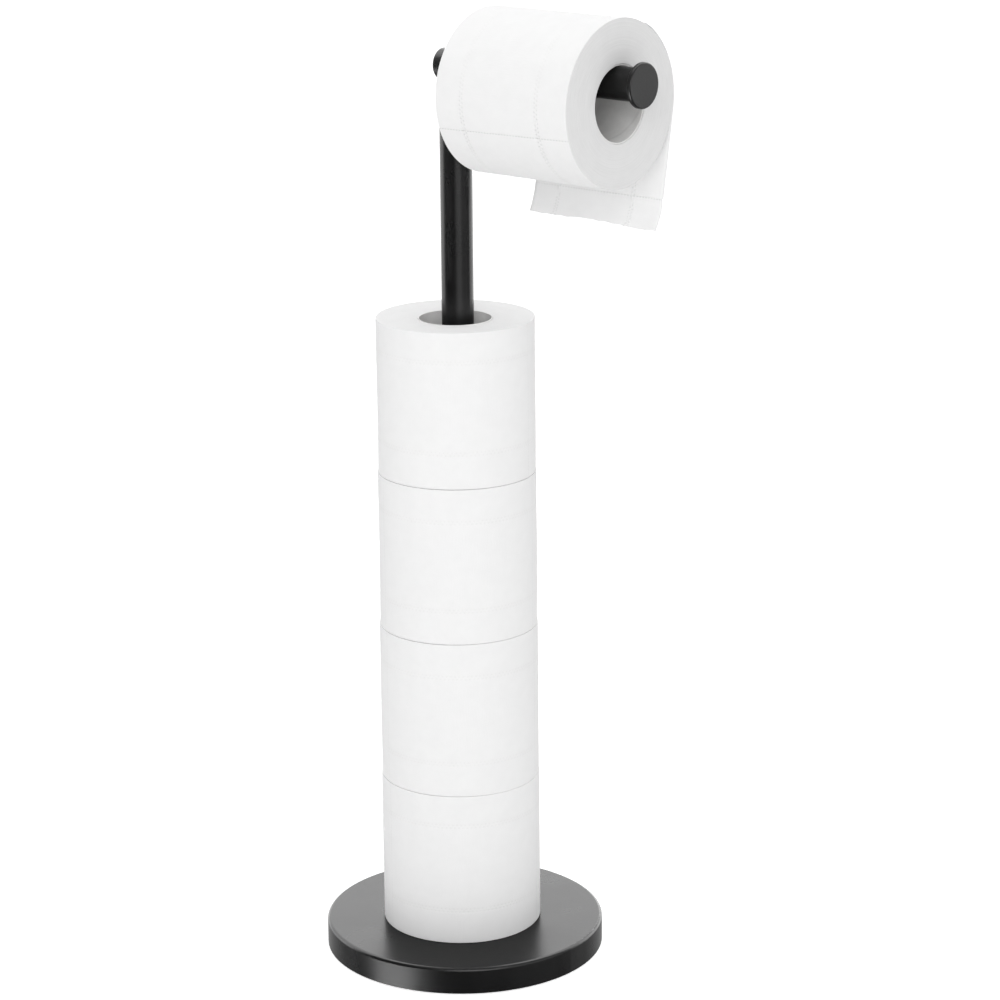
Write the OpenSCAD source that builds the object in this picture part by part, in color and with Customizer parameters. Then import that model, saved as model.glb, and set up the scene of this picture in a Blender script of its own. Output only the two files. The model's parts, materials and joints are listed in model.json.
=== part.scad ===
// Free-standing toilet paper holder: a weighted round base, a post that stores
// spare rolls, and a lift-off arm that carries the roll in use.
// The origin is the centre of the base's underside. +Z is up, +X runs along the arm.

/* [Base] */
// Outer diameter of the round base
base_d = 179; // [160:1:200]
// Height of the base above the floor
base_h = 18; // [17:0.5:24]
// Wall thickness of the pressed steel shell
shell_t = 1.5; // [1.2:0.1:1.8]
// Radius of the shell's top edge
base_edge_r = 2; // [1.9:0.1:3]
// Thickness of the anti-slip pad
pad_t = 2; // [1.5:0.5:2.5]
// Thickness of the bottom cover plate
plate_t = 1.5; // [1.2:0.1:2]

/* [Post] */
// Outer diameter of the post
post_d = 20; // [18:1:24]
// Wall thickness of the post and arm tubes
tube_t = 1.5; // [1:0.1:2]
// Height where the post's two tubes meet
post_joint_z = 290; // [200:5:340]
// Height of the seam between the post and the arm's neck
neck_z = 545; // [535:1:550]

/* [Arm] */
// Height of the arm's centre line
arm_z = 571; // [568:1:580]
// Outer diameter of the arm
arm_d = 20; // [18:1:24]
// Distance from the post's centre line to the arm's front face
arm_reach = 146; // [142:1:170]
// Diameter of the end disc
disc_d = 27; // [25:0.5:32]
// Thickness of the end disc
disc_t = 3; // [2:0.5:4]
// Diameter of the spigot that plugs into the post
spigot_d = 13; // [12:0.5:13.5]
// Length of the spigot below the seam
spigot_len = 38; // [30:1:44]

/* [Rolls] */
// Outer diameter of the roll on the arm
roll_d = 100.4; // [90:0.1:104]
// Width of the roll on the arm
roll_w = 100; // [96:0.5:100]
// Inner diameter of the cardboard core
core_d = 45; // [40:0.5:46]
// Wall thickness of the core
core_t = 0.8; // [0.6:0.1:1.2]
// Number of spare rolls on the post
spare_count = 4; // [1:1:4]
// Outer diameters of the spare rolls, from the bottom up
spare_d = [101.8, 101.1, 100.1, 99.2]; // [90:0.1:104]
// Widths of the spare rolls, from the bottom up
spare_w = [99.4, 100.4, 99.8, 98.2]; // [96:0.1:101]
// Distance from the post's centre line to the hanging roll's rear face
roll_x = 28.5; // [20:0.5:36]
// Length of the free sheet that hangs straight
tail_straight = 54; // [40:1:60]

/* [Hidden] */

$fn = 96;
eps = 0.5;                    // overshoot of a cutting tool past the face that it cuts

// Heights in the base, from the floor up
rim_z = 0.8;                  // the shell's rim clears the floor by this much
plate_z = pad_t;
weight_z = plate_z + plate_t;
weight_top = base_h - shell_t;
weight_gap = 0.5;             // radial room between the weight and the shell
weight_edge_r = 1;

// Base bolt, M8, with its washers in the weight's counterbore
bolt_d = 8;
bolt_clear_d = 9;
bolt_len = 25;
bolt_head_d = 13;
bolt_head_h = 4.8;
bolt_socket_d = 5.8;          // across the corners of the hexagon socket
bolt_socket_depth = 2.6;
washer_d = 24;
washer_t = 1.6;
lock_d = 13;
lock_t = 2;
lock_slot = 1.2;
pocket_d = 26;
pocket_top = weight_top - 4.5;
washer_z = pocket_top - washer_t;
lock_z = washer_z - lock_t;

// Countersunk screws that hold the cover plate, M4
screw_count = 3;
screw_circle_r = 60;
screw_d = 4;
screw_head_d = 8;
screw_head_h = 2;
screw_len = 10;
screw_slot_w = 1;
screw_slot_depth = 0.8;

// Post
gasket_t = 1;
post_z = base_h + gasket_t;
bore_d = post_d - 2 * tube_t;
foot_insert_len = 20;
joint_insert_len = 15;
joint_stud_d = 10;
joint_stud_len = 26;
stud_chamfer = 1;
bush_len = 40;
bush_flange_t = 1;
post_top = neck_z - bush_flange_t;

// Spigot and neck
spigot_clear = 0.05;          // radial running clearance in the bush
spigot_flat = 1.5;            // depth of the flat that keys the arm
spigot_hold = 12;             // length of spigot held in the neck
spigot_chamfer = 1;

// Arm
arm_r = arm_d / 2;
arm_bore_d = arm_d - 2 * tube_t;
cap_t = 3;
cap_edge_r = 1.5;
cap_plug_len = 8;
arm_rear = -post_d / 2;
tube_x0 = arm_rear + cap_t;
tube_x1 = arm_reach - disc_t;
disc_edge_r = 0.8;
disc_boss_len = 4;
disc_boss_d = arm_bore_d - 0.2;
end_insert_len = 15;
end_stud_d = 6;
end_stud_len = 17;
end_stud_x0 = arm_reach - 1.5 - end_stud_len;

// Rolls
core_gap = 0.3;               // room between the arm and the core that rests on it
core_inset = 1;               // the core ends this far inside the paper
paper_d = core_d + 2 * core_t;
paper_edge_r = 0.6;
paper_inner_edge_r = 1.5;
roll_z = arm_z - (core_d - arm_d) / 2 + core_gap;
spare_offset = [-1.2, -1.1];  // the stack rests a little off the post's centre line

// Free end of the paper: it follows the roll, leaves it and curls inward
tail_t = 0.5;
tail_gap = 0.3;
tail_wrap_angle = 63;         // where the free end starts, above the horizontal
tail_leave_angle = -10;       // where it leaves the roll, below the horizontal
tail_curl_r = 45;
tail_curl_sweep = 24;

// ---------- helpers ----------

module ring(od, id, h) {
    difference() {
        cylinder(d = od, h = h);
        translate([0, 0, -eps]) cylinder(d = id, h = h + 2 * eps);
    }
}

// Half profile of a disc between two heights, with a round top edge
module disc_profile(r, z0, z1, edge_r) {
    translate([0, z0]) square([r, z1 - edge_r - z0]);
    translate([0, z0]) square([r - edge_r, z1 - z0]);
    translate([r - edge_r, z1 - edge_r]) circle(edge_r);
}

// Turns a shape built along +Z so that it lies along +X at the arm's height
module along_arm(x) {
    translate([x, 0, arm_z]) rotate([0, 90, 0]) children();
}

module stud(d, len) {
    cylinder(d1 = d - 2 * stud_chamfer, d2 = d, h = stud_chamfer);
    translate([0, 0, stud_chamfer]) cylinder(d = d, h = len - 2 * stud_chamfer);
    translate([0, 0, len - stud_chamfer]) cylinder(d1 = d, d2 = d - 2 * stud_chamfer, h = stud_chamfer);
}

// Solid round bar with a flat on its -X side
module keyed_bar(d, h, flat_x) {
    difference() {
        cylinder(d = d, h = h);
        translate([-d, -d, -eps]) cube([d - flat_x, 2 * d, h + 2 * eps]);
    }
}

// The places of the cover plate's screws
module at_screws() {
    for (k = [0:screw_count - 1])
        rotate([0, 0, 30 + k * 360 / screw_count])
            translate([screw_circle_r, 0, plate_z]) children();
}

module screw_body() {
    cylinder(d1 = screw_head_d, d2 = screw_d, h = screw_head_h);
    cylinder(d = screw_d, h = screw_len);
}

// ---------- base ----------

module foot_pad() {
    color([0.12, 0.12, 0.12])
        cylinder(d = base_d - 2 * shell_t - 8, h = pad_t);
}

module base_plate() {
    color([0.35, 0.35, 0.36])
        difference() {
            translate([0, 0, plate_z])
                cylinder(d = base_d - 2 * shell_t - 2 * weight_gap, h = plate_t);
            at_screws() screw_body();
        }
}

module plate_screws() {
    color([0.6, 0.6, 0.62])
        difference() {
            at_screws() screw_body();
            at_screws() translate([-screw_head_d, -screw_slot_w / 2, -eps])
                cube([2 * screw_head_d, screw_slot_w, screw_slot_depth + eps]);
        }
}

module base_weight() {
    color([0.28, 0.28, 0.29])
        difference() {
            rotate_extrude()
                disc_profile(base_d / 2 - shell_t - weight_gap, weight_z, weight_top, weight_edge_r);
            translate([0, 0, weight_z - eps]) cylinder(d = pocket_d, h = pocket_top - weight_z + eps);
            cylinder(d = bolt_clear_d, h = base_h);
            at_screws() screw_body();
        }
}

module base_shell() {
    color([0.1, 0.1, 0.1])
        rotate_extrude()
            difference() {
                disc_profile(base_d / 2, rim_z, base_h, base_edge_r);
                disc_profile(base_d / 2 - shell_t, rim_z - eps, weight_top, base_edge_r - shell_t);
                square([bolt_clear_d / 2, base_h + eps]);
            }
}

module base_bolt() {
    color([0.62, 0.62, 0.64])
        difference() {
            union() {
                translate([0, 0, lock_z - bolt_head_h]) cylinder(d = bolt_head_d, h = bolt_head_h);
                translate([0, 0, lock_z]) cylinder(d = bolt_d, h = bolt_len);
            }
            translate([0, 0, lock_z - bolt_head_h - eps])
                cylinder(d = bolt_socket_d, h = bolt_socket_depth + eps, $fn = 6);
        }
}

module lock_washer() {
    color([0.55, 0.55, 0.57])
        translate([0, 0, lock_z])
            difference() {
                ring(lock_d, bolt_clear_d, lock_t);
                translate([0, -lock_slot / 2, -eps]) cube([lock_d, lock_slot, lock_t + 2 * eps]);
            }
}

module base_washer() {
    color([0.66, 0.66, 0.68])
        translate([0, 0, washer_z]) ring(washer_d, bolt_clear_d, washer_t);
}

// ---------- post ----------

module post_gasket() {
    color([0.08, 0.08, 0.08])
        translate([0, 0, base_h]) ring(post_d, bolt_clear_d, gasket_t);
}

module post_foot_insert() {
    color([0.5, 0.5, 0.52])
        translate([0, 0, post_z]) ring(bore_d, bolt_d, foot_insert_len);
}

module post_lower() {
    color([0.1, 0.1, 0.1])
        translate([0, 0, post_z]) ring(post_d, bore_d, post_joint_z - post_z);
}

module lower_joint_insert() {
    color([0.5, 0.5, 0.52])
        translate([0, 0, post_joint_z - joint_insert_len])
            ring(bore_d, joint_stud_d, joint_insert_len);
}

module joint_stud() {
    color([0.6, 0.6, 0.62])
        translate([0, 0, post_joint_z - joint_stud_len / 2]) stud(joint_stud_d, joint_stud_len);
}

module upper_joint_insert() {
    color([0.5, 0.5, 0.52])
        translate([0, 0, post_joint_z]) ring(bore_d, joint_stud_d, joint_insert_len);
}

module post_upper() {
    color([0.1, 0.1, 0.1])
        translate([0, 0, post_joint_z]) ring(post_d, bore_d, post_top - post_joint_z);
}

module post_top_bush() {
    color([0.15, 0.15, 0.15])
        difference() {
            union() {
                translate([0, 0, post_top - bush_len]) cylinder(d = bore_d, h = bush_len);
                translate([0, 0, post_top]) cylinder(d = post_d, h = bush_flange_t);
            }
            translate([0, 0, post_top - bush_len - eps])
                keyed_bar(spigot_d + 2 * spigot_clear, bush_len + bush_flange_t + 2 * eps,
                          spigot_d / 2 - spigot_flat + spigot_clear);
        }
}

// ---------- arm ----------

module arm_spigot() {
    color([0.7, 0.7, 0.72]) {
        intersection() {
            translate([0, 0, neck_z - spigot_len])
                keyed_bar(spigot_d, spigot_len, spigot_d / 2 - spigot_flat);
            translate([0, 0, neck_z - spigot_len]) {
                cylinder(d1 = spigot_d - 2 * spigot_chamfer, d2 = spigot_d, h = spigot_chamfer);
                translate([0, 0, spigot_chamfer]) cylinder(d = spigot_d, h = spigot_len);
            }
        }
        translate([0, 0, neck_z]) cylinder(d = spigot_d, h = spigot_hold);
    }
}

module arm_neck() {
    color([0.1, 0.1, 0.1])
        difference() {
            translate([0, 0, neck_z]) cylinder(d = post_d, h = arm_z - neck_z);
            translate([0, 0, neck_z - eps]) cylinder(d = spigot_d, h = spigot_hold + eps);
            along_arm(-post_d) cylinder(d = arm_d, h = 2 * post_d);
        }
}

module arm_tube() {
    color([0.1, 0.1, 0.1])
        along_arm(tube_x0) ring(arm_d, arm_bore_d, tube_x1 - tube_x0);
}

module arm_back_cap() {
    color([0.1, 0.1, 0.1])
        along_arm(tube_x0) {
            mirror([0, 0, 1]) rotate_extrude() disc_profile(arm_r, 0, cap_t, cap_edge_r);
            cylinder(d = arm_bore_d, h = cap_plug_len);
        }
}

module arm_end_insert() {
    color([0.5, 0.5, 0.52])
        along_arm(tube_x1 - disc_boss_len - end_insert_len)
            ring(arm_bore_d, end_stud_d, end_insert_len);
}

module end_disc_stud() {
    color([0.6, 0.6, 0.62])
        along_arm(end_stud_x0) cylinder(d = end_stud_d, h = end_stud_len);
}

module arm_end_disc() {
    color([0.12, 0.12, 0.12])
        along_arm(tube_x1)
            difference() {
                union() {
                    rotate_extrude()
                        intersection() {
                            disc_profile(disc_d / 2, 0, disc_t, disc_edge_r);
                            translate([0, disc_t]) mirror([0, 1])
                                disc_profile(disc_d / 2, 0, disc_t, disc_edge_r);
                        }
                    translate([0, 0, -disc_boss_len]) cylinder(d = disc_boss_d, h = disc_boss_len);
                }
                translate([0, 0, -disc_boss_len - eps])
                    cylinder(d = end_stud_d, h = end_stud_x0 + end_stud_len - tube_x1 + disc_boss_len + eps);
            }
}

// ---------- rolls ----------

module core(w) {
    color([0.7, 0.69, 0.67])
        translate([0, 0, core_inset]) ring(paper_d, core_d, w - 2 * core_inset);
}

// Cross-section of paper wound to a diameter d and a width w, with soft edges at both ends
module paper_section(d, w) {
    half = w / 2;
    for (side = [0, 1])
        translate([0, half]) mirror([0, side])
            difference() {
                disc_profile(d / 2, 0, half, paper_edge_r);
                square([paper_d / 2, half + eps]);
                translate([paper_d / 2, half - paper_inner_edge_r])
                    difference() {
                        square([paper_inner_edge_r, paper_inner_edge_r + eps]);
                        translate([paper_inner_edge_r, 0]) circle(paper_inner_edge_r);
                    }
            }
}

module paper(d, w) {
    color([0.95, 0.95, 0.95]) rotate_extrude() paper_section(d, w);
}

// Height of the underside of spare roll k, counted from 1 at the bottom
function spare_z(k) = k == 1 ? base_h : spare_z(k - 1) + spare_w[k - 2];

module at_spare(k) {
    translate([spare_offset[0], spare_offset[1], spare_z(k)]) children();
}

module at_roll() {
    translate([roll_x, 0, roll_z]) rotate([0, 90, 0]) children();
}

module arc_band(r, t, from_angle, to_angle) {
    reach = 2 * (r + t);
    intersection() {
        difference() {
            circle(r + t, $fn = 180);
            circle(r, $fn = 180);
        }
        polygon([[0, 0],
                 reach * [cos(from_angle), sin(from_angle)],
                 reach * [cos((from_angle + to_angle) / 2), sin((from_angle + to_angle) / 2)],
                 reach * [cos(to_angle), sin(to_angle)]]);
    }
}

// Side view of the free end: horizontal is +Y, vertical is +Z, the origin is the roll's axis
module tail_profile() {
    hug_r = roll_d / 2 + tail_gap;
    arc_band(hug_r, tail_t, tail_leave_angle, tail_wrap_angle);
    rotate(tail_leave_angle) translate([hug_r, -tail_straight]) {
        square([tail_t, tail_straight]);
        translate([-tail_curl_r, 0]) arc_band(tail_curl_r, tail_t, -tail_curl_sweep, 0);
    }
}

module paper_tail() {
    color([0.93, 0.93, 0.93])
        translate([roll_x, 0, roll_z]) rotate([90, 0, 90]) linear_extrude(roll_w) tail_profile();
}

// ---------- nodes ----------

foot_pad();
base_plate();
plate_screws();
base_weight();
base_shell();
base_bolt();
lock_washer();
base_washer();
post_gasket();
post_foot_insert();
post_lower();
lower_joint_insert();
joint_stud();
upper_joint_insert();
post_upper();
post_top_bush();
arm_spigot();
arm_neck();
arm_tube();
arm_back_cap();
arm_end_insert();
end_disc_stud();
arm_end_disc();
for (k = [1:spare_count])
    at_spare(k) core(spare_w[k - 1]);
for (k = [1:spare_count])
    at_spare(k) paper(spare_d[k - 1], spare_w[k - 1]);
at_roll() core(roll_w);  // roll_core
at_roll() paper(roll_d, roll_w);  // roll_paper
paper_tail();
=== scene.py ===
"""Looks for the free-standing toilet paper holder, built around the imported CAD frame.

All sizes are metres in the frame's own axes: +Z up, +X along the arm, and the free end of the paper
hangs on the +Y side. The metal parts are the CAD nodes with finished materials. The wound rolls, their
cores and the free end of the paper are detailed meshes that stand for the plain CAD solids.
"""
import json
import math

import bmesh
import bpy
import numpy as np
from mathutils import Matrix, Vector


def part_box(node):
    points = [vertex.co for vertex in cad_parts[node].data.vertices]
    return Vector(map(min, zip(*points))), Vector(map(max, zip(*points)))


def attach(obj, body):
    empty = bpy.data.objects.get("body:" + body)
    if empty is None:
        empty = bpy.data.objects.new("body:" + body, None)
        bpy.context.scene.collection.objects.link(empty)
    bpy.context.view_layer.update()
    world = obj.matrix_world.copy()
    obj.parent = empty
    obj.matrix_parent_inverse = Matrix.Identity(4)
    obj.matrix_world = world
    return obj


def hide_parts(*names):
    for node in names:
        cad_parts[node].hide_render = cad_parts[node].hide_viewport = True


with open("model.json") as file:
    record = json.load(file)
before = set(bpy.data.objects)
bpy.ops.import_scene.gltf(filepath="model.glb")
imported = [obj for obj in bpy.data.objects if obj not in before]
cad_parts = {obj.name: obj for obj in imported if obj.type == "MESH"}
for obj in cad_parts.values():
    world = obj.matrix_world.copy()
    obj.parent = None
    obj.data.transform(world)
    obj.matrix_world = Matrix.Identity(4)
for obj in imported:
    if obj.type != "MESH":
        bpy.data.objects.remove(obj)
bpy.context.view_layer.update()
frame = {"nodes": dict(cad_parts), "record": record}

MM = 0.001
TURN = 2 * math.pi
BLACK = (0.0, 0.0, 0.0)
SPARES = (1, 2, 3, 4)

# ---------- seeds of the random numbers ----------
HANGING_SEED = 7
SPARE_SEED = 100                    # of each spare, with its number added
SPARE_TEAR_SEED = 40                # of each spare's perforation, with its number added
TORN_SEED = 11

# ---------- sizes taken from the frame ----------
X, Z = 0, 2                         # the axis that a roll lies along
roll_low, roll_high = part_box("roll_paper")
core_low, core_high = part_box("roll_core")
ROLL_RADIUS = (roll_high.z - roll_low.z) / 2
ROLL_WIDTH = roll_high.x - roll_low.x
BORE_RADIUS = (core_high.z - core_low.z) / 2

# ---------- paper ----------
DOTS_AROUND = 120                   # dots of one embossed row in a turn
SEGMENTS_PER_DOT = 4                # steps from one point to the next round a roll
DOT_PITCH = TURN * ROLL_RADIUS / DOTS_AROUND
SHEET_LENGTH = 118.9 * MM           # from one perforation to the next
EDGE_R = 0.6 * MM                   # round edge of a wound roll
EDGE_POINTS = 6                     # points round that edge and the bore's
BORE_EDGE_R = 0.4 * MM              # round edge of its bore
DIP_WIDTH = 9.0 * MM                # the cut ends sink towards the core over this width
DIP_POWER = 1.5                     # how much steeper they get towards it
SPARE_DIP = 1.3 * MM                # how deep they sink there
HANGING_DIP = 0.3 * MM
SPARE_END_LAYERS_AND_SHADE = 0.35                    # how strongly the layers and their painted shade show on the spares' cut ends, which face up into the light; the arm roll's end, facing aside, takes the full amount
SPARE_CRISP = (0.4, 0.4)            # how strongly dots and perforations show, in depth and painted shade, at its own +Y and -Y
HANGING_CRISP = (0.22, 1.3)         # the same on the arm: weak on its brightly lit top, strong underneath where light grazes
CRISP_CHANGE = (-0.5, 0.3)          # where one turns into the other, in radii towards its own -Y
COARSE_ROW = 3.0 * MM               # from one ring of points to the next along a roll,
FINE_ROW = 0.35 * MM                # and round its dotted lines
FACE_RINGS = 16                     # rings of points on a cut end
FACE_RELIEF = 0.18 * MM             # depth of the faint rings on the cut ends
CLOSE_RINGS = 4.1 * MM              # from one ring to the next, in two sets of rings
WIDE_RINGS = 9.3 * MM
LUMP_DEPTH = 0.35 * MM              # unevenness of the wound surface, a sum of waves:
LUMPS = (                           # waves in a turn, half waves along the roll, size
    (1, 1, 0.5),
    (2, 0, 0.8),
    (3, 2, 0.5),
    (5, 1, 0.4),
    (8, 3, 0.2),
    (13, 2, 0.15),
)
DOT_ROW_OFFSET = 0.9 * MM           # half the distance between the two rows of a dotted line
DOT_SIZE = 0.5 * MM
DOT_DEPTH = 0.65 * MM
DOT_LOW = 0.1                       # what is left of that depth between two dots
BAND_HALF = 2.3 * MM                # half width of the finely divided band round a dotted line
BAND_SPACING = 57.0 * MM            # between the two dotted lines of a roll
BAND_SHIFT = {                      # how far the two lie off the middle of each roll
    "roll_paper": -1.5 * MM,
    "spare_paper_1": 1.0 * MM,
    "spare_paper_2": 0.0 * MM,
    "spare_paper_3": 0.3 * MM,
    "spare_paper_4": 1.8 * MM,
}
TEAR_SKEW = math.radians(2.2)       # how far the arm roll's perforation turns from end to end
CUT_DEPTH = 0.16 * MM               # a perforation's groove
CUT_WIDTH = 0.30 * MM
CUT_STEPS = np.array([-1.2, -0.6, 0.0, 0.6, 1.2])   # rows of points across a groove, in cut widths
SLIT_PITCH = 2.2 * MM               # from one slit of a perforation to the next
SLIT_SHARE = 0.6                    # how much of that is slit
TEARS_AROUND = 3                    # perforations that show on a roll's outer turns
SPARE_TEAR = math.radians(67.5)     # a spare's first one, right of the middle of the view
SPARE_TEAR_PLAY = 0.08              # how much that differs from spare to spare, in radians

# ---------- free end of the paper ----------
SHEET_T = 0.3 * MM
SHEET_GLOW = 0.6 * MM               # how far light travels inside a single sheet
SHEET_GAP = 0.3 * MM
WRAP_ANGLE = math.radians(63)       # where the free end starts, above the horizontal
LEAVE_ANGLE = math.radians(-10)     # where it leaves the roll
START_MERGE = 8.0 * MM              # it grows out of the roll over this length,
START_THIN = 0.65                   # starts that much thinner,
START_GAP = 0.06 * MM               # and that close to the roll
DOTS_APPEAR = (2.0 * MM, 6.0 * MM)  # its dotted lines come up between these lengths
STRAIGHT = 54.0 * MM                # the straight stretch from there to the perforation
CURL_R = 45.0 * MM                  # the curl past it
CURL_SWEEP = math.radians(24)
CURL_REAR = 0.82                    # how much of the curl there is at the rear edge
FOLD_SHARE = 0.25                   # how much of the curl is a fold at the perforation
FOLD_LENGTH = 0.12                  # its length, as a share of the curl's
RIPPLES = (                         # height, waves across the sheet, shift
    (1.1 * MM, 1.3, 0.12 * TURN),
    (0.35 * MM, 3.7, 0.9),
)
BELLY = 0.6 * MM                    # the middle of its loose stretch stands out a quarter of this
TAIL_CUT = (0.5, 1.4)               # how strongly its perforation shows, at the rear and front edge
TORN_FROM = 0.3                     # the torn edge shapes the rest of the curl, past that share
TORN_FINE = 0.35 * MM               # height of the torn edge's small tufts
TORN_TUFTS = (0.9 * MM, 2.3 * MM)   # their two wavelengths, divided by a turn
TORN_BROAD = 0.5 * MM               # height of its long wave
TORN_WAVE = 14.0 * MM               # that wave's length, divided by a turn
TORN_REAR = 2.2 * MM                # how much shorter the sheet is at its rear edge
TORN_MOST = 0.4 * MM                # how far the torn edge may reach past the sheet's length
NICK = 0.8 * MM                     # size of the nick in the front edge at the perforation
NICK_FROM = 0.985                   # share of the width at which it begins
HUG_R = ROLL_RADIUS + SHEET_GAP + SHEET_T / 2       # radius at which the sheet lies on the roll
HUG_LENGTH = (WRAP_ANGLE - LEAVE_ANGLE) * HUG_R
TEAR_PLACE = HUG_LENGTH + STRAIGHT                  # where its perforation is
CURL_LENGTH = CURL_R * CURL_SWEEP

# ---------- cores ----------
CORE_WALL = 0.8 * MM
CORE_SEGMENTS = 160                 # points round a core
CORE_ROWS = 64                      # and along it
CORE_STRIP_ROWS = 32                # rows between two edges of the spiral strip
CORE_GROOVE = 0.07 * MM
CORE_PAINTED_LIGHT = 16.0 * MM               # how far the painted light at a core's open ends reaches into it
CORE_CLEAR = 0.1 * MM               # between the core and the paper round it
SAME_PLACE = 0.0001 * MM            # places along a core this close are the same one,
SAME_POINT = 0.001 * MM             # and so are points
SHARP_EDGE = math.radians(50)

# ---------- weld of the arm ----------
WELD_R = 0.9 * MM
WELD_TIP = 0.3                      # share of that left at the bead's tips
WELD_THINS = (0.1, 0.6)             # between these distances from a tip, in radii of the tube
WELD_STEPS = 144                    # points along the bead
WELD_SIDES = 10                     # and round it
WELD_RIPPLES = 36
WELD_RIPPLE = 0.05                  # height of a ripple, as a share of the bead's

# ---------- camera ----------
CAMERA_AZIMUTH = math.radians(41.702)
CAMERA_DISTANCE = 1.8781            # on the floor, from the post
CAMERA_HEIGHT = 0.8264
CAMERA_YAW = math.radians(-0.7665)  # aim, beside the line to the post
CAMERA_PITCH = math.radians(15.739)
CAMERA_ROLL = math.radians(-0.4787)
CAMERA_LENS_MM = 111.65
CAMERA_REACH = 200.0                # how far it sees

# ---------- floor and light ----------
FLOOR_HALF = 60.0                   # half its width
FLOOR_GLOW = 0.60                   # light of its own, which only the camera sees
BACKDROP_GLOW = 1.25                # how bright the camera sees the surroundings
WORLD_LIGHT = (0.80, 1.06)          # soft light from all round, growing from the horizon to the zenith
# What the coat mirrors is a map of directions, in degrees as seen from the object: a dim room, a white
# backdrop behind the object, which grows brighter as it rises, and soft panels.
PANEL_EDGE = 6                      # a panel fades over this much on either side of its edge
ROOM_GLOW = 0.15
ROOM_FROM = -14                     # height at which the room begins
BACKDROP_MIRRORED = (0.75, 6.1)
BACKDROP_RISE = (-27, 8)            # heights between which it grows
BACKDROP_HALF = 79                  # half its width
PANELS = (
    # turn to the camera's right, half width, lower edge, upper edge, brightness
    (11, 17, -7, 30, 6.6),
    (50, 30, -9, 30, 2.1),
    (90, 12, -9, 30, 0.5),
    (130, 16, -14, 30, 3.4),
    (-118, 14, -16, 12, 2.1),
    (-65, 19, -60, -30, 37.0),
    (75, 35, -60, -27, 1.0),
    (0, 180, 55, 78, 3.0),
)


# ---------- small helpers ----------

def centre(node):
    low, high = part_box(node)
    return (low + high) / 2


def smoothstep(value, start, end):
    t = np.clip((value - start) / (end - start), 0.0, 1.0)
    return t * t * (3 - 2 * t)


def grid_faces(rows, columns, close_rows=False, close_columns=False):
    """Quads between neighbours of a grid of points, point (r, c) having the number r * columns + c."""
    r = np.arange(rows if close_rows else rows - 1)
    c = np.arange(columns if close_columns else columns - 1)
    r, c = np.meshgrid(r, c, indexing="ij")
    r1 = (r + 1) % rows
    c1 = (c + 1) % columns
    quads = np.stack([r * columns + c, r * columns + c1, r1 * columns + c1, r1 * columns + c], axis=-1)
    return quads.reshape(-1, 4)


def make_object(name, points, faces, attributes, material):
    """A smooth mesh object. Its points are in the row frame, and an attribute is a number or a vector for
    each point."""
    mesh = bpy.data.meshes.new(name)
    mesh.from_pydata(points.tolist(), [], faces.tolist())
    for key, values in attributes.items():
        vector = values.ndim == 2
        layer = mesh.attributes.new(key, "FLOAT_VECTOR" if vector else "FLOAT", "POINT")
        layer.data.foreach_set("vector" if vector else "value", values.astype(np.float32).ravel())
    mesh.polygons.foreach_set("use_smooth", [True] * len(mesh.polygons))
    mesh.materials.append(material)
    mesh.update()
    made = bpy.data.objects.new(name, mesh)
    bpy.context.scene.collection.objects.link(made)
    return made


def turn_outward(made):
    """Makes the faces of a closed mesh point outward."""
    work = bmesh.new()
    work.from_mesh(made.data)
    bmesh.ops.recalc_face_normals(work, faces=work.faces)
    work.to_mesh(made.data)
    work.free()


def row_frame(points, turned):
    """Points of a roll's own axes, moved to the row frame."""
    return points @ np.array(turned.to_3x3()).T + np.array(turned.translation)


def seat(made, body, slot, *nodes):
    """The piece rides on that body and stands for those CAD nodes. slot is not used."""
    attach(made, body)
    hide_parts(*nodes)


# ---------- material building ----------

def new_material(name):
    made = bpy.data.materials.new(name)
    made.use_nodes = True
    made.node_tree.nodes.clear()
    return made, made.node_tree


def add(tree, kind, settings=None, **inputs):
    """A node of that kind. An input is a value or another node's output, named with _ for a space."""
    made = tree.nodes.new("ShaderNode" + kind)
    for key, value in (settings or {}).items():
        setattr(made, key, value)
    for key, value in inputs.items():
        put(tree, made.inputs[key.replace("_", " ")], value)
    return made


def put(tree, socket, value):
    if isinstance(value, bpy.types.NodeSocket):
        tree.links.new(value, socket)
    else:
        socket.default_value = value


def maths(tree, operation, *values):
    made = tree.nodes.new("ShaderNodeMath")
    made.operation = operation
    for socket, value in zip(made.inputs, values):
        put(tree, socket, value)
    return made.outputs[0]


def spread(tree, value, low, high, from_low=0.0, from_high=1.0):
    """value, which runs from from_low to from_high, moved to the range from low to high."""
    made = add(tree, "MapRange", Value=value,
               From_Min=from_low, From_Max=from_high, To_Min=low, To_Max=high)
    return made.outputs["Result"]


def noise(tree, place, scale, detail, stretch=(1.0, 1.0, 1.0)):
    """Noise, mostly between 0.3 and 0.7. scale is how many of its cells fit in a metre, and stretch
    multiplies that by axis."""
    moved = add(tree, "Mapping", Vector=place, Scale=stretch).outputs["Vector"]
    made = add(tree, "TexNoise", Vector=moved, Scale=scale, Detail=detail)
    return made.outputs["Fac"]


def tint(tree, factor, dark, light):
    """A colour between dark, where factor is 0, and light, where it is 1."""
    made = add(tree, "Mix", {"data_type": "RGBA"})
    put(tree, made.inputs[0], factor)
    put(tree, made.inputs[6], (*dark, 1.0))
    put(tree, made.inputs[7], (*light, 1.0))
    return made.outputs[2]


def blend(tree, factor, first, second):
    """A number between first, where factor is 0, and second, where it is 1."""
    made = add(tree, "Mix", {"data_type": "FLOAT"})
    put(tree, made.inputs[0], factor)
    put(tree, made.inputs[2], first)
    put(tree, made.inputs[3], second)
    return made.outputs[0]


def bump(tree, height, distance, below=None):
    """The normal of a relief that deep, on top of another bump if there is one below."""
    made = add(tree, "Bump", Height=height, Distance=distance)
    if below is not None:
        tree.links.new(below, made.inputs["Normal"])
    return made.outputs["Normal"]


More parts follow.
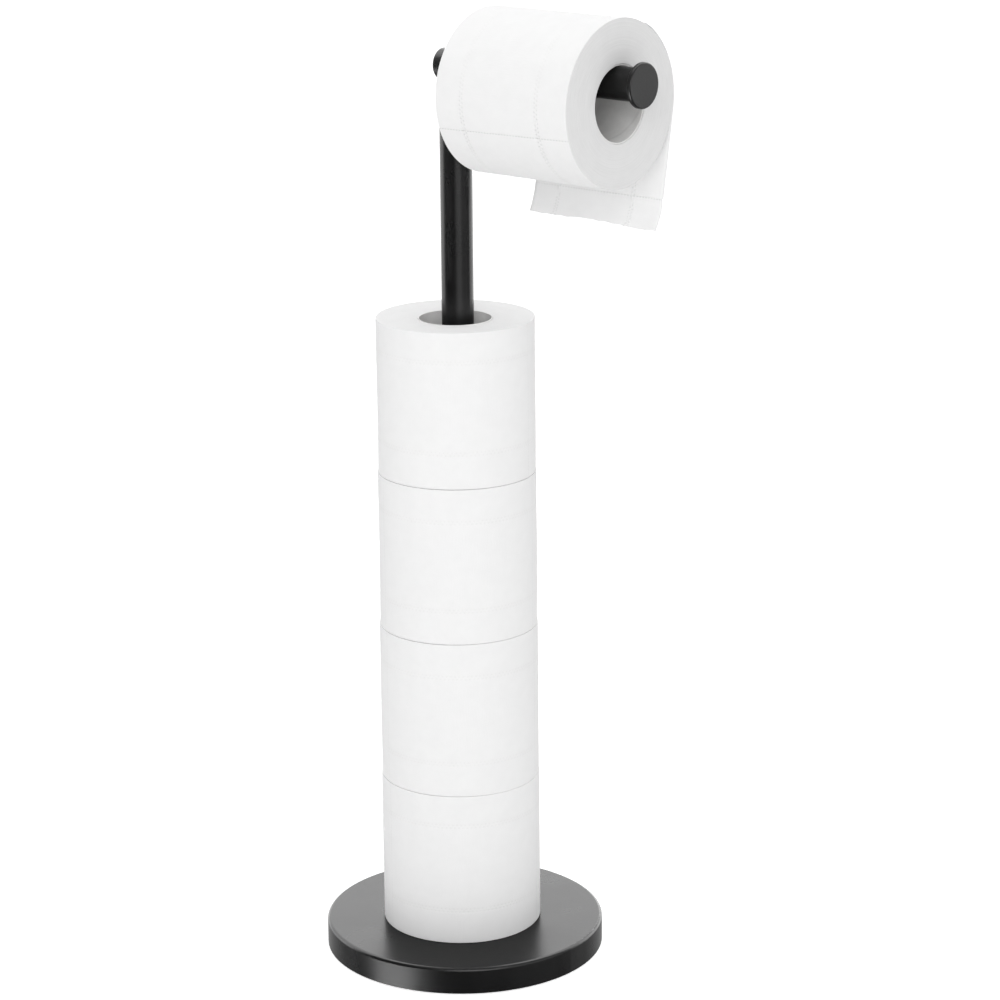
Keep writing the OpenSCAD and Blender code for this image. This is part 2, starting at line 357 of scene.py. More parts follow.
def surface(tree, **inputs):
    """The material's shader and output."""
    shader = add(tree, "BsdfPrincipled", **inputs)
    output = add(tree, "OutputMaterial")
    tree.links.new(shader.outputs["BSDF"], output.inputs["Surface"])


def object_place(tree):
    return add(tree, "TexCoord").outputs["Object"]


def attribute(tree, name, output="Fac"):
    return add(tree, "Attribute", {"attribute_name": name}).outputs[output]


# ---------- materials ----------

def black_coat():
    """Matt black powder coat: orange peel, a fine grain, and a slightly uneven sheen that is weaker where
    the coat is seen aslant."""
    made, tree = new_material("black_coat_finish")
    place = object_place(tree)
    peel = noise(tree, place, 900.0, 2.0)
    grain = noise(tree, place, 4200.0, 1.0)
    cloud = noise(tree, place, 28.0, 3.0)
    peel_bump = bump(tree, peel, 0.035 * MM)
    aslant = add(tree, "LayerWeight", Blend=0.5).outputs["Facing"]
    surface(
        tree,
        Base_Color=tint(tree, cloud, (0.0044, 0.0044, 0.0046), (0.0062, 0.0062, 0.0064)),
        Roughness=spread(tree, cloud, 0.26, 0.32, 0.3, 0.7),
        Specular_IOR_Level=spread(tree, aslant, 0.28, 0.09, 0.3, 0.55),
        Normal=bump(tree, grain, 0.008 * MM, below=peel_bump),
    )
    return made


def zinc_steel():
    """Zinc-plated steel, dulled by a cloudy passivation, with turning marks."""
    made, tree = new_material("zinc_steel_finish")
    place = object_place(tree)
    marks = noise(tree, place, 500.0, 3.0, (0.4, 0.4, 8.0))
    cloud = noise(tree, place, 90.0, 3.0)
    surface(
        tree,
        Base_Color=tint(tree, cloud, (0.30, 0.305, 0.315), (0.42, 0.425, 0.43)),
        Metallic=0.4,
        Roughness=spread(tree, marks, 0.34, 0.5, 0.3, 0.7),
        Normal=bump(tree, marks, 0.012 * MM),
    )
    return made


def cast_weight():
    """Sand-cast grey iron: a coarse, uneven skin."""
    made, tree = new_material("cast_weight_finish")
    place = object_place(tree)
    skin = noise(tree, place, 700.0, 4.0)
    cloud = noise(tree, place, 60.0, 3.0)
    surface(
        tree,
        Base_Color=tint(tree, cloud, (0.085, 0.084, 0.083), (0.15, 0.148, 0.146)),
        Metallic=0.6,
        Roughness=spread(tree, skin, 0.55, 0.8, 0.3, 0.7),
        Normal=bump(tree, skin, 0.15 * MM),
    )
    return made


def pad_rubber():
    """Closed-cell foam rubber: fine pores and a powdery sheen."""
    made, tree = new_material("pad_rubber_finish")
    place = object_place(tree)
    pores = add(tree, "TexVoronoi", Vector=place, Scale=1100.0).outputs["Distance"]
    cloud = noise(tree, place, 40.0, 4.0)
    surface(
        tree,
        Base_Color=tint(tree, cloud, (0.014, 0.014, 0.014), (0.030, 0.030, 0.030)),
        Roughness=spread(tree, cloud, 0.72, 0.9, 0.3, 0.7),
        Specular_IOR_Level=0.3,
        Normal=bump(tree, pores, 0.12 * MM),
    )
    return made


def nylon():
    """Moulded black nylon: a faint spark-eroded texture."""
    made, tree = new_material("nylon_finish")
    place = object_place(tree)
    texture = noise(tree, place, 1600.0, 3.0)
    cloud = noise(tree, place, 120.0, 2.0)
    surface(
        tree,
        Base_Color=tint(tree, cloud, (0.012, 0.012, 0.013), (0.020, 0.020, 0.021)),
        Roughness=spread(tree, texture, 0.38, 0.5, 0.3, 0.7),
        Specular_IOR_Level=0.4,
        Normal=bump(tree, texture, 0.02 * MM),
    )
    return made


def tissue(name, **extra):
    """Creped tissue. It reads numbers that each point of the mesh holds: local is the point in the roll's
    own axes, or on the flat sheet, radius is its distance from the axis, and face, cut and press are how
    strongly a cut end's layers, a perforation and an embossed dot show there, in relief and painted shade."""
    made, tree = new_material(name)
    local = attribute(tree, "local", "Vector")
    radius = attribute(tree, "radius")
    face = attribute(tree, "face")
    cut = attribute(tree, "cut")
    press = attribute(tree, "press")
    crepe = noise(tree, local, 1.0, 3.0, (1500.0, 1500.0, 130.0))
    fibre = noise(tree, local, 900.0, 4.0)
    mottle = noise(tree, local, 120.0, 3.0)
    layers = wound_layers(tree, local, radius)
    relief = blend(tree, face, crepe, layers)
    # Painted shade in a perforation's slits, in the pressed dots and between the layers of a cut end.
    along = add(tree, "SeparateXYZ", Vector=local).outputs["Z"]
    slit = maths(tree, "FRACT", maths(tree, "MULTIPLY", along, 1 / SLIT_PITCH))
    dash = spread(tree, maths(tree, "LESS_THAN", slit, SLIT_SHARE), 0.05, 0.16)
    cut_shade = maths(tree, "MULTIPLY", cut, dash)
    dot_shade = maths(tree, "MULTIPLY", press, 0.12)
    layer_shade = maths(tree, "MULTIPLY", face, spread(tree, layers, 0.14, 0.09, 0.35, 0.65))
    dark = maths(tree, "ADD", maths(tree, "ADD", cut_shade, dot_shade), layer_shade)
    shade = maths(tree, "SUBTRACT", spread(tree, mottle, 0.98, 1.0, 0.3, 0.7), dark)
    weave = bump(tree, fibre, 0.03 * MM)
    surface(
        tree,
        Base_Color=tint(tree, shade, BLACK, (0.925, 0.925, 0.925)),
        Roughness=spread(tree, mottle, 0.88, 1.0, 0.3, 0.7),
        Specular_IOR_Level=0.08,
        Normal=bump(tree, relief, 0.05 * MM, below=weave),
        **extra,
    )
    return made


def wound_layers(tree, local, radius):
    """The layers of a cut end: noise that changes fast with the distance from the axis and slowly along
    everything else."""
    turns = add(tree, "CombineXYZ", X=maths(tree, "MULTIPLY", radius, 2600.0))
    drift = add(tree, "VectorMath", {"operation": "SCALE"}, Vector=local, Scale=70.0)
    place = add(tree, "VectorMath", {"operation": "ADD"}, Vector=turns.outputs["Vector"])
    tree.links.new(drift.outputs["Vector"], place.inputs[1])
    made = add(tree, "TexNoise", Vector=place.outputs["Vector"], Scale=1.0, Detail=3.0)
    return made.outputs["Fac"]


def core_card():
    """Grey chipboard: flecked fibres and a darker line at the spiral strip's edge. It is paler towards the
    cut ends, where face rises to 1: painted light, standing for the light that enters the core's open
    ends."""
    made, tree = new_material("core_card_finish")
    local = attribute(tree, "local", "Vector")
    cut = attribute(tree, "cut")
    face = attribute(tree, "face")
    fibre = noise(tree, local, 1300.0, 4.0)
    fleck = add(tree, "TexVoronoi", Vector=local, Scale=420.0).outputs["Distance"]
    cloud = noise(tree, local, 110.0, 3.0)
    flecks = spread(tree, fleck, 0.10, 0.0, 0.0, 0.16)
    # Painted light near the core's open ends.
    painted_light = maths(tree, "MULTIPLY", face, spread(tree, fibre, 0.16, 0.22, 0.3, 0.7))
    shade = maths(tree, "SUBTRACT", spread(tree, cloud, 0.70, 0.80, 0.3, 0.7), flecks)
    shade = maths(tree, "SUBTRACT", shade, maths(tree, "MULTIPLY", cut, 0.10))
    shade = maths(tree, "ADD", shade, painted_light)
    surface(
        tree,
        Base_Color=tint(tree, shade, BLACK, (0.93, 0.925, 0.915)),
        Roughness=spread(tree, fibre, 0.78, 0.95, 0.3, 0.7),
        Specular_IOR_Level=0.2,
        Normal=bump(tree, fibre, 0.05 * MM),
    )
    return made


# ---------- wound rolls ----------

def roll_size(node, axis):
    """A roll's radius and width."""
    low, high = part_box(node)
    return (high.y - low.y) / 2, high[axis] - low[axis]


def bands(node, width):
    """The places of a roll's two dotted lines along its axis."""
    middle = width / 2 + BAND_SHIFT[node]
    return middle - BAND_SPACING / 2, middle + BAND_SPACING / 2


def rows_across(start, end, dotted):
    """Places from start to end: coarse rows, with fine rows round each dotted line."""
    rows = np.linspace(start, end, round((end - start) / COARSE_ROW) + 1)
    for line in dotted:
        near = np.abs(rows - line) < BAND_HALF + 0.3 * COARSE_ROW
        inner = near & (rows > start) & (rows < end)
        fine = line + np.linspace(-BAND_HALF, BAND_HALF, round(2 * BAND_HALF / FINE_ROW) + 1)
        rows = np.sort(np.concatenate([rows[~inner], fine]))
    return rows


def dots(count, across, dotted):
    """How far the dotted lines press at a place, from 0 to 1. A dotted line is two rows of dots, shifted
    by half a dot. count is the number of dots passed along the paper, and across is the place along the
    roll."""
    depth = np.zeros(np.broadcast(count, across).shape)
    for line in dotted:
        for side in (-1, 1):
            dot = np.maximum(0.0, np.cos(TURN * (count + 0.25 * side))) ** 2
            one_row = np.exp(-(((across - line - side * DOT_ROW_OFFSET) / DOT_SIZE) ** 2))
            depth = depth + one_row * (DOT_LOW + (1 - DOT_LOW) * dot)
    return depth


def lumps(angle, across, width, rng):
    """Soft unevenness of the wound surface, from 0 to 1."""
    total = np.zeros(np.broadcast(angle, across).shape)
    for waves, halves, size in LUMPS:
        turn, shift = rng.uniform(0, TURN, 2)
        lengthwise = np.cos(halves * math.pi * across / width + shift)
        total = total + size * np.sin(waves * angle + turn) * lengthwise
    return 0.5 + 0.5 * np.tanh(total)


def end_rings(r, angle, rng):
    """The faint rings of a cut end, from 0 to 1, each a little off the centre."""
    turn, shift = rng.uniform(0, TURN, 2)
    close = np.sin(r * TURN / CLOSE_RINGS + turn + 0.8 * np.sin(angle + shift))
    wide = np.sin(r * TURN / WIDE_RINGS + shift + 1.1 * np.sin(2 * angle + turn))
    return 0.5 + 0.5 * np.tanh(close + 0.7 * wide)


def roll_profile(radius, width, dip, dotted):
    """The points of a roll's cross-section, from the bore over one cut end, the wound side and the other
    cut end back to the bore: distance from the axis, place along it, and how much each point belongs to
    the wound side, from 0 to 1."""
    quarter = np.linspace(0, math.pi / 2, EDGE_POINTS)
    rows = rows_across(EDGE_R, width - EDGE_R, dotted)[1:-1]
    rings = np.linspace(BORE_RADIUS + BORE_EDGE_R, radius - EDGE_R, FACE_RINGS)[:-1]
    sunk = dip * np.clip(1 - (rings - BORE_RADIUS) / DIP_WIDTH, 0, None) ** DIP_POWER
    bore_r = BORE_RADIUS + BORE_EDGE_R * (1 - np.cos(quarter))
    bore_a = sunk[0] + BORE_EDGE_R * (1 - np.sin(quarter))
    edge_r = radius - EDGE_R * (1 - np.sin(quarter))
    edge_a = EDGE_R * (1 - np.cos(quarter))
    half_r = np.concatenate([[BORE_RADIUS], bore_r[:-1], rings, edge_r])
    half_a = np.concatenate([[bore_a[0] + BORE_EDGE_R], bore_a[:-1], sunk, edge_a])
    half_side = np.concatenate([np.zeros(len(quarter) + len(rings)), np.sin(quarter) ** 2])
    r = np.concatenate([half_r, np.full(len(rows), radius), half_r[::-1]])
    a = np.concatenate([half_a, rows, width - half_a[::-1]])
    side = np.concatenate([half_side, np.ones(len(rows)), half_side[::-1]])
    return r, a, side


def roll_angles(tears, radius):
    """The angles of a roll's rows of points: even steps, and close steps at each perforation."""
    even = np.linspace(0, TURN, DOTS_AROUND * SEGMENTS_PER_DOT, endpoint=False)
    close = [tear + step * CUT_WIDTH / radius for tear in tears for step in CUT_STEPS]
    return np.unique(np.round(np.concatenate([even, np.array(close) % TURN]), 6))


def cut_lines(angle, tears, radius):
    """1 on each perforation, falling to 0 a short way off it."""
    near = np.zeros(angle.shape)
    for tear in tears:
        away = np.abs((angle - tear + math.pi) % TURN - math.pi)
        near = np.maximum(near, np.exp(-((away * radius / CUT_WIDTH) ** 2)))
    return near


def wound_roll(name, node, body, axis, turned, first, seed, material, dip, crisp,
               layers_and_shade=1.0, skew=0.0):
    """A wound roll that stands for a CAD ring. turned takes the roll's own axes, with its axis along +Z
    from 0 to the roll's width, into the row frame. first is the angle of one perforation, the others lie
    a sheet's length apart, and all of them turn by skew from end to end. dip is how deep the cut ends
    sink, and layers_and_shade is how strongly their layers show, in relief and in painted shade. crisp
    is how strongly the dots and perforations show, in depth and in painted shade, where the roll's own Y
    is highest and lowest."""
    rng = np.random.default_rng(seed)
    radius, width = roll_size(node, axis)
    dotted = bands(node, width)
    tears = [first - k * SHEET_LENGTH / radius for k in range(TEARS_AROUND)]
    r, a, side = (part[None, :] for part in roll_profile(radius, width, dip, dotted))
    angle = roll_angles(tears, radius)[:, None]
    strength = crisp[0] + (crisp[1] - crisp[0]) * smoothstep(-np.sin(angle), *CRISP_CHANGE)
    cut = cut_lines(angle, tears, radius) * side * strength
    press = dots(angle * DOTS_AROUND / TURN, a, dotted) * side * strength
    sink = LUMP_DEPTH * lumps(angle, a, width, rng) + DOT_DEPTH * press + CUT_DEPTH * cut
    end = 1 - side
    inward = np.where(a < width / 2, 1.0, -1.0)
    free_end = end * smoothstep(r, BORE_RADIUS + BORE_EDGE_R, BORE_RADIUS + DIP_WIDTH)
    relief = FACE_RELIEF * free_end * end_rings(r, angle, rng)
    r_made = r - sink * side
    a_made = a + inward * relief
    around = angle + skew * (1 - a / width)
    points = np.stack([r_made * np.cos(around), r_made * np.sin(around), a_made], axis=-1)
    points = points.reshape(-1, 3)
    attributes = {
        "local": points,
        "radius": r_made.ravel(),
        "face": np.tile(layers_and_shade * end, angle.shape).ravel(),
        "cut": cut.ravel(),
        "press": press.ravel(),
    }
    faces = grid_faces(len(angle), r.shape[1], close_rows=True, close_columns=True)
    made = make_object(name, row_frame(points, turned), faces, attributes, material)
    turn_outward(made)
    seat(made, body, "tissue", node)


# ---------- cores ----------

def spiral_core(name, node, body, axis, turned, start, material):
    """A spiral-wound card tube. Its rows of points climb by one strip's width in a turn, and every row
    that lies between two turns of the inner strip is a shallow groove. start is how far along the roll's
    own axis the tube begins."""
    length = roll_size(node, axis)[1]
    columns = CORE_ROWS + CORE_STRIP_ROWS + 2
    angle = np.linspace(0, TURN, CORE_SEGMENTS, endpoint=False)[:, None]
    row = np.arange(columns)[None, :] - CORE_STRIP_ROWS
    a = np.clip((row + CORE_STRIP_ROWS * angle / TURN) * length / CORE_ROWS, 0, length)
    groove = (row % CORE_STRIP_ROWS == 0) & (a > 0) & (a < length)
    # Painted light: the card is paler near the open ends, where light enters the core.
    painted_light_near_ends = np.exp(-np.minimum(a, length - a) / CORE_PAINTED_LIGHT)
    walls = []
    for r, depth in ((BORE_RADIUS - CORE_WALL, CORE_GROOVE), (BORE_RADIUS - CORE_CLEAR, 0.0)):
        radius = r + depth * groove
        wall = np.stack([radius * np.cos(angle), radius * np.sin(angle), a], axis=-1)
        walls.append(wall.reshape(-1, 3))
    local = np.concatenate(walls) + np.array([0, 0, start])
    attributes = {
        "local": local,
        "face": np.tile(painted_light_near_ends.ravel(), 2),
        "cut": np.concatenate([groove.ravel(), 0.0 * groove.ravel()]),
    }
    faces = tube_faces(columns, a.ravel())
    tube = make_object(name, row_frame(local, turned), faces, attributes, material)
    clean_tube(tube)
    seat(tube, body, "core_card", node)


def tube_faces(columns, a):
    """Quads of the tube's inner wall, outer wall and two ends. a is each wall point's place along the
    axis, and a quad whose points all lie at a tube's end is left out."""
    count = CORE_SEGMENTS * columns
    turn, row = np.meshgrid(np.arange(CORE_SEGMENTS), np.arange(columns - 1), indexing="ij")
    beside = (turn + 1) % CORE_SEGMENTS
    far = row + np.where(turn + 1 == CORE_SEGMENTS, CORE_STRIP_ROWS, 0)
    quads = np.stack([turn * columns + row, turn * columns + row + 1,
                      beside * columns + far + 1, beside * columns + far], axis=-1)
    quads = quads[far + 1 < columns]
    quads = quads[np.ptp(a[quads], axis=1) > SAME_PLACE]
    faces = [quads, quads[:, ::-1] + count]
    for column in (0, columns - 1):
        here = np.arange(CORE_SEGMENTS) * columns + column
        after = np.roll(here, -1)
        faces.append(np.stack([here, after, after + count, here + count], axis=-1))
    return np.concatenate(faces)


def clean_tube(tube):
    """Merges the points that fell together at the tube's ends, drops what is left over, and marks the
    tube's rims as sharp."""
    work = bmesh.new()
    work.from_mesh(tube.data)
    bmesh.ops.remove_doubles(work, verts=work.verts, dist=SAME_POINT)
    bmesh.ops.dissolve_degenerate(work, edges=work.edges, dist=SAME_POINT)
    bmesh.ops.recalc_face_normals(work, faces=work.faces)
    for edge in work.edges:
        if len(edge.link_faces) == 2 and edge.calc_face_angle(0.0) > SHARP_EDGE:
            edge.smooth = False
    work.to_mesh(tube.data)
    work.free()


# ---------- free end of the paper ----------

# s is the distance along the sheet from its start on the roll, x the distance across it from its rear
# edge, which is the one nearer the post, and share is x as a share of its width.

def sheet_line(s, share):
    """The middle of the sheet's thickness: its place in the plane across the roll's axis, from that axis,
    and the direction of its outer side there."""
    on_roll = WRAP_ANGLE - np.minimum(s, HUG_LENGTH) / HUG_R
    hung = np.clip(s - HUG_LENGTH, 0, STRAIGHT)
    curled = np.clip((s - TEAR_PLACE) / CURL_LENGTH, 0, None)
    sweep = CURL_SWEEP * (CURL_REAR + (1 - CURL_REAR) * share)
    fold = FOLD_SHARE * smoothstep(curled, 0.0, FOLD_LENGTH)
    facing = LEAVE_ANGLE - sweep * (fold + (1 - FOLD_SHARE) * curled)
    curl_r = CURL_LENGTH / sweep
    y = HUG_R * np.cos(on_roll) + hung * math.sin(LEAVE_ANGLE)
    z = HUG_R * np.sin(on_roll) - hung * math.cos(LEAVE_ANGLE)
    y = y + curl_r * (np.cos(facing) - math.cos(LEAVE_ANGLE))
    z = z + curl_r * (np.sin(facing) - math.sin(LEAVE_ANGLE))
    return y, z, np.where(s < HUG_LENGTH, on_roll, facing)


def torn_edge(x, width):
    """How far the torn edge reaches past the sheet's length."""
    rng = np.random.default_rng(TORN_SEED)
    fine, long = TORN_TUFTS
    tufts = TORN_FINE * np.sin(x / fine) * np.sin(x / long + 1.0)
    wave = TORN_BROAD * np.sin(x / TORN_WAVE + rng.uniform(0, 6))
    return np.minimum(tufts + wave - TORN_REAR * (1 - x / width) ** 2, TORN_MOST)


def ripples(s, share):
    """How far the loose stretch waves outward: not at all where it leaves the roll, most at its end."""
    loose = smoothstep(s, HUG_LENGTH, TEAR_PLACE + CURL_LENGTH)
    total = BELLY * loose * (1 - loose)
    for height, waves, shift in RIPPLES:
        total = total + height * loose * np.sin(TURN * waves * share + shift)
    return total


def free_sheet(material):
    """The free end of the paper: it lies on the roll, then hangs down, and its torn edge curls in."""
    low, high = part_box("paper_tail")
    middle = centre("roll_paper")
    width = high.x - low.x
    length = TEAR_PLACE + CURL_LENGTH
    dotted = bands("roll_paper", ROLL_WIDTH)
    even = np.linspace(0, length, round(length / DOT_PITCH * SEGMENTS_PER_DOT) + 1)
    along = np.unique(np.concatenate([even, TEAR_PLACE + CUT_STEPS * CUT_WIDTH]))
    s, x = np.meshgrid(along, rows_across(0.0, width, dotted), indexing="ij")
    share = x / width
    end_share = smoothstep(s, TEAR_PLACE + TORN_FROM * CURL_LENGTH, length)
    y, z, facing = sheet_line(s + end_share * torn_edge(x, width), share)
    strength = TAIL_CUT[0] + (TAIL_CUT[1] - TAIL_CUT[0]) * share
    cut = np.exp(-(((s - TEAR_PLACE) / CUT_WIDTH) ** 2)) * strength
    press = dots(s / DOT_PITCH, x, dotted) * smoothstep(s, *DOTS_APPEAR)
    merge = 1 - smoothstep(s, 0.0, START_MERGE)
    lift = ripples(s, share) - (SHEET_GAP - START_GAP) * merge - DOT_DEPTH * press - CUT_DEPTH * cut
    half = SHEET_T / 2 * (1 - START_THIN * merge)
    nick = NICK * np.exp(-(((s - TEAR_PLACE) / NICK) ** 2)) * smoothstep(share, NICK_FROM, 1.0)
    shells = []
    for sign in (1, -1):
        off = lift + sign * half
        shell = np.stack([low.x + x - nick, middle.y + y + off * np.cos(facing),
                          middle.z + z + off * np.sin(facing)], axis=-1)
        shells.append(shell.reshape(-1, 3))
    local = np.stack([s, 0 * s, x], axis=-1).reshape(-1, 3)
    attributes = {
        "local": np.tile(local, (2, 1)),
        "radius": np.tile(s.ravel(), 2),
        "face": np.zeros(2 * s.size),
        "cut": np.tile(cut.ravel(), 2),
        "press": np.tile(press.ravel(), 2),
    }
    faces = shell_faces(*s.shape)
    made = make_object("hanging_sheet", np.concatenate(shells), faces, attributes, material)
    turn_outward(made)
    seat(made, "tail", "tissue", "paper_tail")


def shell_faces(rows, columns):
    """Quads of two grids, one over the other, and of the rim that joins them."""
    count = rows * columns
    quads = grid_faces(rows, columns)
    rim = edge_loop(rows, columns)
    after = np.roll(rim, -1)
    sides = np.stack([rim, after, after + count, rim + count], axis=-1)
    return np.concatenate([quads, quads[:, ::-1] + count, sides])


def edge_loop(rows, columns):
    """Point numbers round the border of a grid."""
    top = np.arange(columns)
    right = np.arange(1, rows) * columns + columns - 1
    bottom = (rows - 1) * columns + np.arange(columns - 2, -1, -1)
    left = np.arange(rows - 2, 0, -1) * columns
    return np.concatenate([top, right, bottom, left])


# ---------- weld of the arm ----------

def weld_bead(material):
    """The dressed weld bead round the joint of the arm's neck and tube. The two are equally thick, so
    the joint rises to the tube's axis on either side of the neck, and the bead thins towards those two
    tips."""
    low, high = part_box("arm_neck")
    radius = (high.x - low.x) / 2
    turn = np.linspace(0, TURN, WELD_STEPS, endpoint=False)
    away = np.abs(np.cos(turn))
    height = centre("arm_tube").z - radius * away
    path = np.stack([radius * np.cos(turn), radius * np.sin(turn), height], axis=-1)
    along = np.roll(path, -1, axis=0) - np.roll(path, 1, axis=0)
    outward = np.stack([np.cos(turn), np.sin(turn), 0 * turn], axis=-1)
    across = np.cross(along, outward)
    across = across / np.linalg.norm(across, axis=1, keepdims=True)
    thinned = WELD_TIP + (1 - WELD_TIP) * smoothstep(away, *WELD_THINS)
    size = WELD_R * thinned * (1 + WELD_RIPPLE * np.sin(WELD_RIPPLES * turn))
    side = np.linspace(0, TURN, WELD_SIDES, endpoint=False)[None, :, None]
    ring = np.cos(side) * outward[:, None, :] + np.sin(side) * across[:, None, :]
    points = path[:, None, :] + size[:, None, None] * ring
    faces = grid_faces(WELD_STEPS, WELD_SIDES, close_rows=True, close_columns=True)
    made = make_object("arm_weld", points.reshape(-1, 3), faces, {}, material)
    turn_outward(made)
    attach(made, "arm")


# ---------- stage ----------

def camera():
    data = bpy.data.cameras.new("camera")
    data.lens = CAMERA_LENS_MM
    data.clip_end = CAMERA_REACH
    made = bpy.data.objects.new("camera", data)
    bpy.context.scene.collection.objects.link(made)
    yaw = CAMERA_AZIMUTH + CAMERA_YAW
    place = Vector((math.sin(CAMERA_AZIMUTH), -math.cos(CAMERA_AZIMUTH), 0)) * CAMERA_DISTANCE
    place.z = CAMERA_HEIGHT
    turn = (Matrix.Rotation(yaw, 4, "Z") @ Matrix.Rotation(math.pi / 2 - CAMERA_PITCH, 4, "X")
            @ Matrix.Rotation(CAMERA_ROLL, 4, "Z"))
    made.matrix_world = Matrix.Translation(place) @ turn
    bpy.context.scene.camera = made


def floor():
    """A plain pale floor, bright enough to melt into the surroundings."""
    made, tree = new_material("pale_floor")
    mottle = noise(tree, object_place(tree), 6.0, 3.0)
    seen = add(tree, "LightPath").outputs["Is Camera Ray"]
    surface(
        tree,
        Base_Color=tint(tree, mottle, (0.86, 0.86, 0.86), (0.90, 0.90, 0.90)),
        Roughness=0.9,
        Specular_IOR_Level=0.0,
        Emission_Color=(1.0, 1.0, 1.0, 1.0),
        Emission_Strength=maths(tree, "MULTIPLY", seen, FLOOR_GLOW),
    )
    corners = np.array([(-1, -1, 0), (1, -1, 0), (1, 1, 0), (-1, 1, 0)]) * FLOOR_HALF
    plane = make_object("floor", corners, np.array([[0, 1, 2, 3]]), {}, made)
    plane.visible_glossy = False


def ramp(tree, value, start, end, low=0.0, high=1.0):
    """From low to high, smoothly, as value goes from start to end."""
    made = add(tree, "MapRange", {"interpolation_type": "SMOOTHSTEP"}, Value=value,
               From_Min=start, From_Max=end, To_Min=low, To_Max=high)
    return made.outputs["Result"]


def sine(degrees):
    return math.sin(math.radians(min(90, degrees)))


def above(tree, height, degrees, low=0.0, high=1.0):
    """From low to high as the look rises past that many degrees. height is the sine of its rise."""
    return ramp(tree, height, sine(degrees - PANEL_EDGE), sine(degrees + PANEL_EDGE), low, high)


def beside(tree, level, turn, half_width):
    """1 within a half width of the direction that many degrees to the camera's right."""
    middle = CAMERA_AZIMUTH + math.radians(turn)
    made = add(tree, "VectorMath", {"operation": "DOT_PRODUCT"}, Vector=level)
    made.inputs[1].default_value = (math.sin(middle), -math.cos(middle), 0)
    outer = math.cos(math.radians(min(180, half_width + PANEL_EDGE)))
    inner = math.cos(math.radians(half_width - PANEL_EDGE))
    return ramp(tree, made.outputs["Value"], outer, inner)


def mirrored_room(tree, height, level):
    """What the coat mirrors in a direction, given as the sine of its rise and its level part."""
    grown = ramp(tree, height, *(sine(degrees) for degrees in BACKDROP_RISE), *BACKDROP_MIRRORED)
    total = maths(tree, "MULTIPLY", beside(tree, level, 180, BACKDROP_HALF), grown)
    total = maths(tree, "ADD", total, above(tree, height, ROOM_FROM, 0.0, ROOM_GLOW))
    for turn, half_width, low, high, brightness in PANELS:
        inside = maths(tree, "MULTIPLY", above(tree, height, low), above(tree, height, high, 1.0, 0.0))
        if half_width < 180:
            inside = maths(tree, "MULTIPLY", inside, beside(tree, level, turn, half_width))
        total = maths(tree, "ADD", total, maths(tree, "MULTIPLY", inside, brightness))
    return total


def surroundings():
    """A studio: the camera sees even white, the coat mirrors the room, and soft light comes from all
    round."""
    world = bpy.data.worlds.new("studio")
    world.use_nodes = True
    tree = world.node_tree
    tree.nodes.clear()
    toward = add(tree, "TexCoord").outputs["Generated"]
    part = add(tree, "SeparateXYZ", Vector=toward).outputs
    flat = add(tree, "CombineXYZ", X=part["X"], Y=part["Y"]).outputs["Vector"]
    level = add(tree, "VectorMath", {"operation": "NORMALIZE"}, Vector=flat).outputs["Vector"]
    path = add(tree, "LightPath").outputs
    soft = spread(tree, part["Z"], *WORLD_LIGHT)
    lit = blend(tree, path["Is Glossy Ray"], soft, mirrored_room(tree, part["Z"], level))
    seen = blend(tree, path["Is Camera Ray"], lit, BACKDROP_GLOW)
    shade = add(tree, "Background", Strength=seen)
    output = add(tree, "OutputWorld")
    tree.links.new(shade.outputs["Background"], output.inputs["Surface"])
    bpy.context.scene.world = world


def softbox(name, place, aim, size, watts):
    """A square soft light that stands at place and faces aim. Neither the camera nor the coat sees it."""
    data = bpy.data.lights.new(name, "AREA")
    data.shape = "SQUARE"
    data.size = size
    data.energy = watts
    made = bpy.data.objects.new(name, data)
    bpy.context.scene.collection.objects.link(made)
    made.location = place
    made.rotation_mode = "QUATERNION"
    made.rotation_quaternion = (Vector(aim) - Vector(place)).to_track_quat("-Z", "Y")
    made.visible_camera = False
    made.visible_glossy = False


def stage():
    camera()
    floor()
    surroundings()
    softbox("key", place=(1.6, -2.1, 1.5), aim=(0.0, 0.0, 0.35), size=1.6, watts=20.5)
    softbox("fill", place=(-0.6, 0.7, 2.5), aim=(0.0, 0.0, 0.42), size=1.2, watts=8.5)
    bpy.context.scene.view_settings.view_transform = "Standard"


# ---------- the object ----------

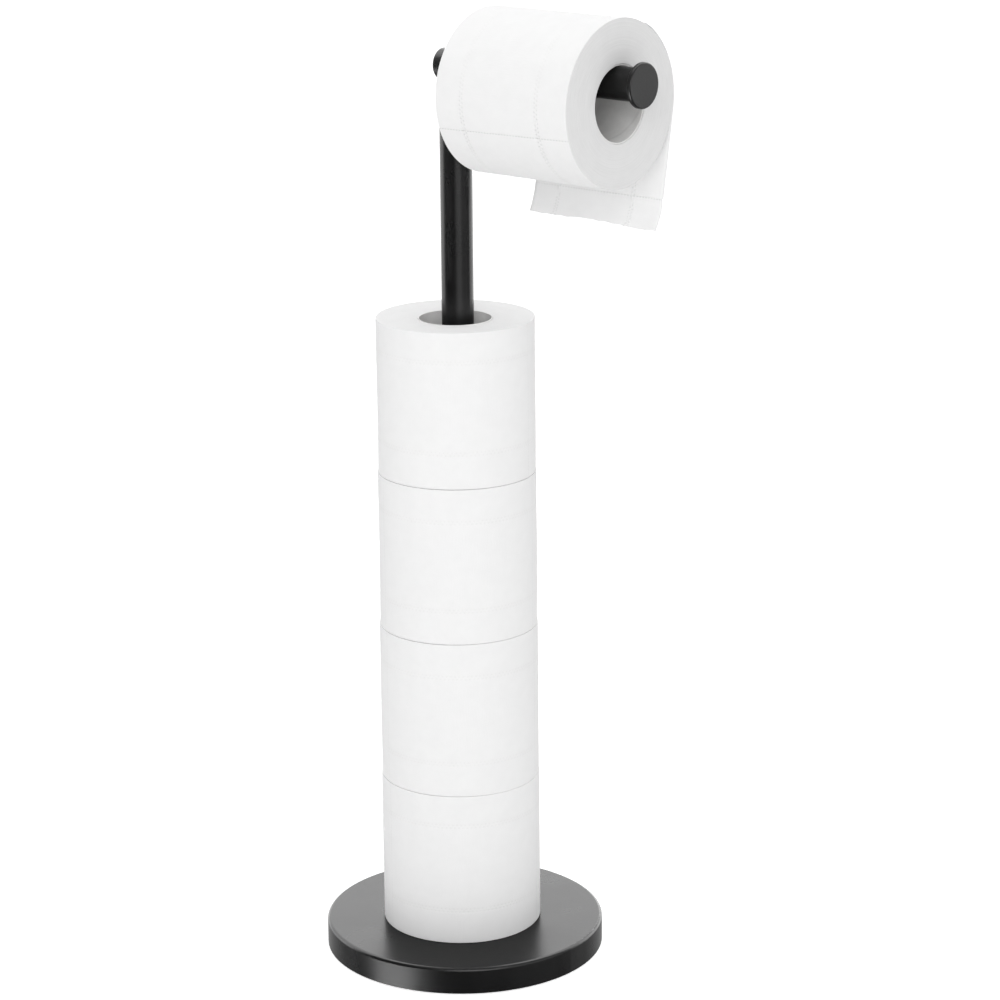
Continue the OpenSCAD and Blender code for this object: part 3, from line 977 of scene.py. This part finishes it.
def finish_metal():
    """Gives every CAD node that stays in view the finished material of its slot, and returns the coat."""
    made = {"black_coat": black_coat(), "zinc_steel": zinc_steel(), "cast_weight": cast_weight(),
            "pad_rubber": pad_rubber(), "nylon": nylon()}
    slots = {part["node"]: part["material_slot"] for part in frame["record"]["subparts"]}
    for name, node in frame["nodes"].items():
        if slots[name] in made:
            for slot in node.material_slots:
                slot.material = made[slots[name]]
    return made["black_coat"]


def spare_rolls(paper, card):
    """The stacked spares. Their perforations lie towards the sides and the back of the view."""
    for k in SPARES:
        node = f"spare_paper_{k}"
        tube = f"spare_core_{k}"
        middle = centre(node)
        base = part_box(node)[0].z
        upright = Matrix.Translation((middle.x, middle.y, base))
        rng = np.random.default_rng(SPARE_TEAR_SEED + k)
        play = rng.uniform(-SPARE_TEAR_PLAY, SPARE_TEAR_PLAY)
        first = CAMERA_AZIMUTH - math.pi / 2 + SPARE_TEAR + play
        wound_roll(f"spare_roll_{k}", node, f"spare_{k}", Z, upright, first, SPARE_SEED + k, paper,
                   SPARE_DIP, SPARE_CRISP, layers_and_shade=SPARE_END_LAYERS_AND_SHADE)
        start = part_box(tube)[0].z - base
        spiral_core(f"spare_tube_{k}", tube, f"spare_{k}", Z, upright, start, card)


def hanging_roll(paper, card, sheet):
    """The roll on the arm, its core and the free end of its paper. The roll's own X, Y and Z are the row
    frame's Y, Z and X, and one perforation lies where the free end starts."""
    middle = centre("roll_paper")
    along_arm = Matrix(((0, 0, 1, 0), (1, 0, 0, 0), (0, 1, 0, 0), (0, 0, 0, 1)))
    lying = Matrix.Translation((roll_low.x, middle.y, middle.z)) @ along_arm
    first = WRAP_ANGLE + 2 * SHEET_LENGTH / ROLL_RADIUS
    wound_roll("hanging_roll", "roll_paper", "roll", X, lying, first, HANGING_SEED, paper,
               HANGING_DIP, HANGING_CRISP, skew=TEAR_SKEW)
    spiral_core("hanging_tube", "roll_core", "roll", X, lying, core_low.x - roll_low.x, card)
    free_sheet(sheet)


stage()
weld_bead(finish_metal())
tissue_finish = tissue("tissue_finish")
sheet_finish = tissue("tissue_sheet_finish", Subsurface_Weight=1.0, Subsurface_Radius=(1.0, 1.0, 1.0),
                      Subsurface_Scale=SHEET_GLOW)
card_finish = core_card()
spare_rolls(tissue_finish, card_finish)
hanging_roll(tissue_finish, card_finish, sheet_finish)
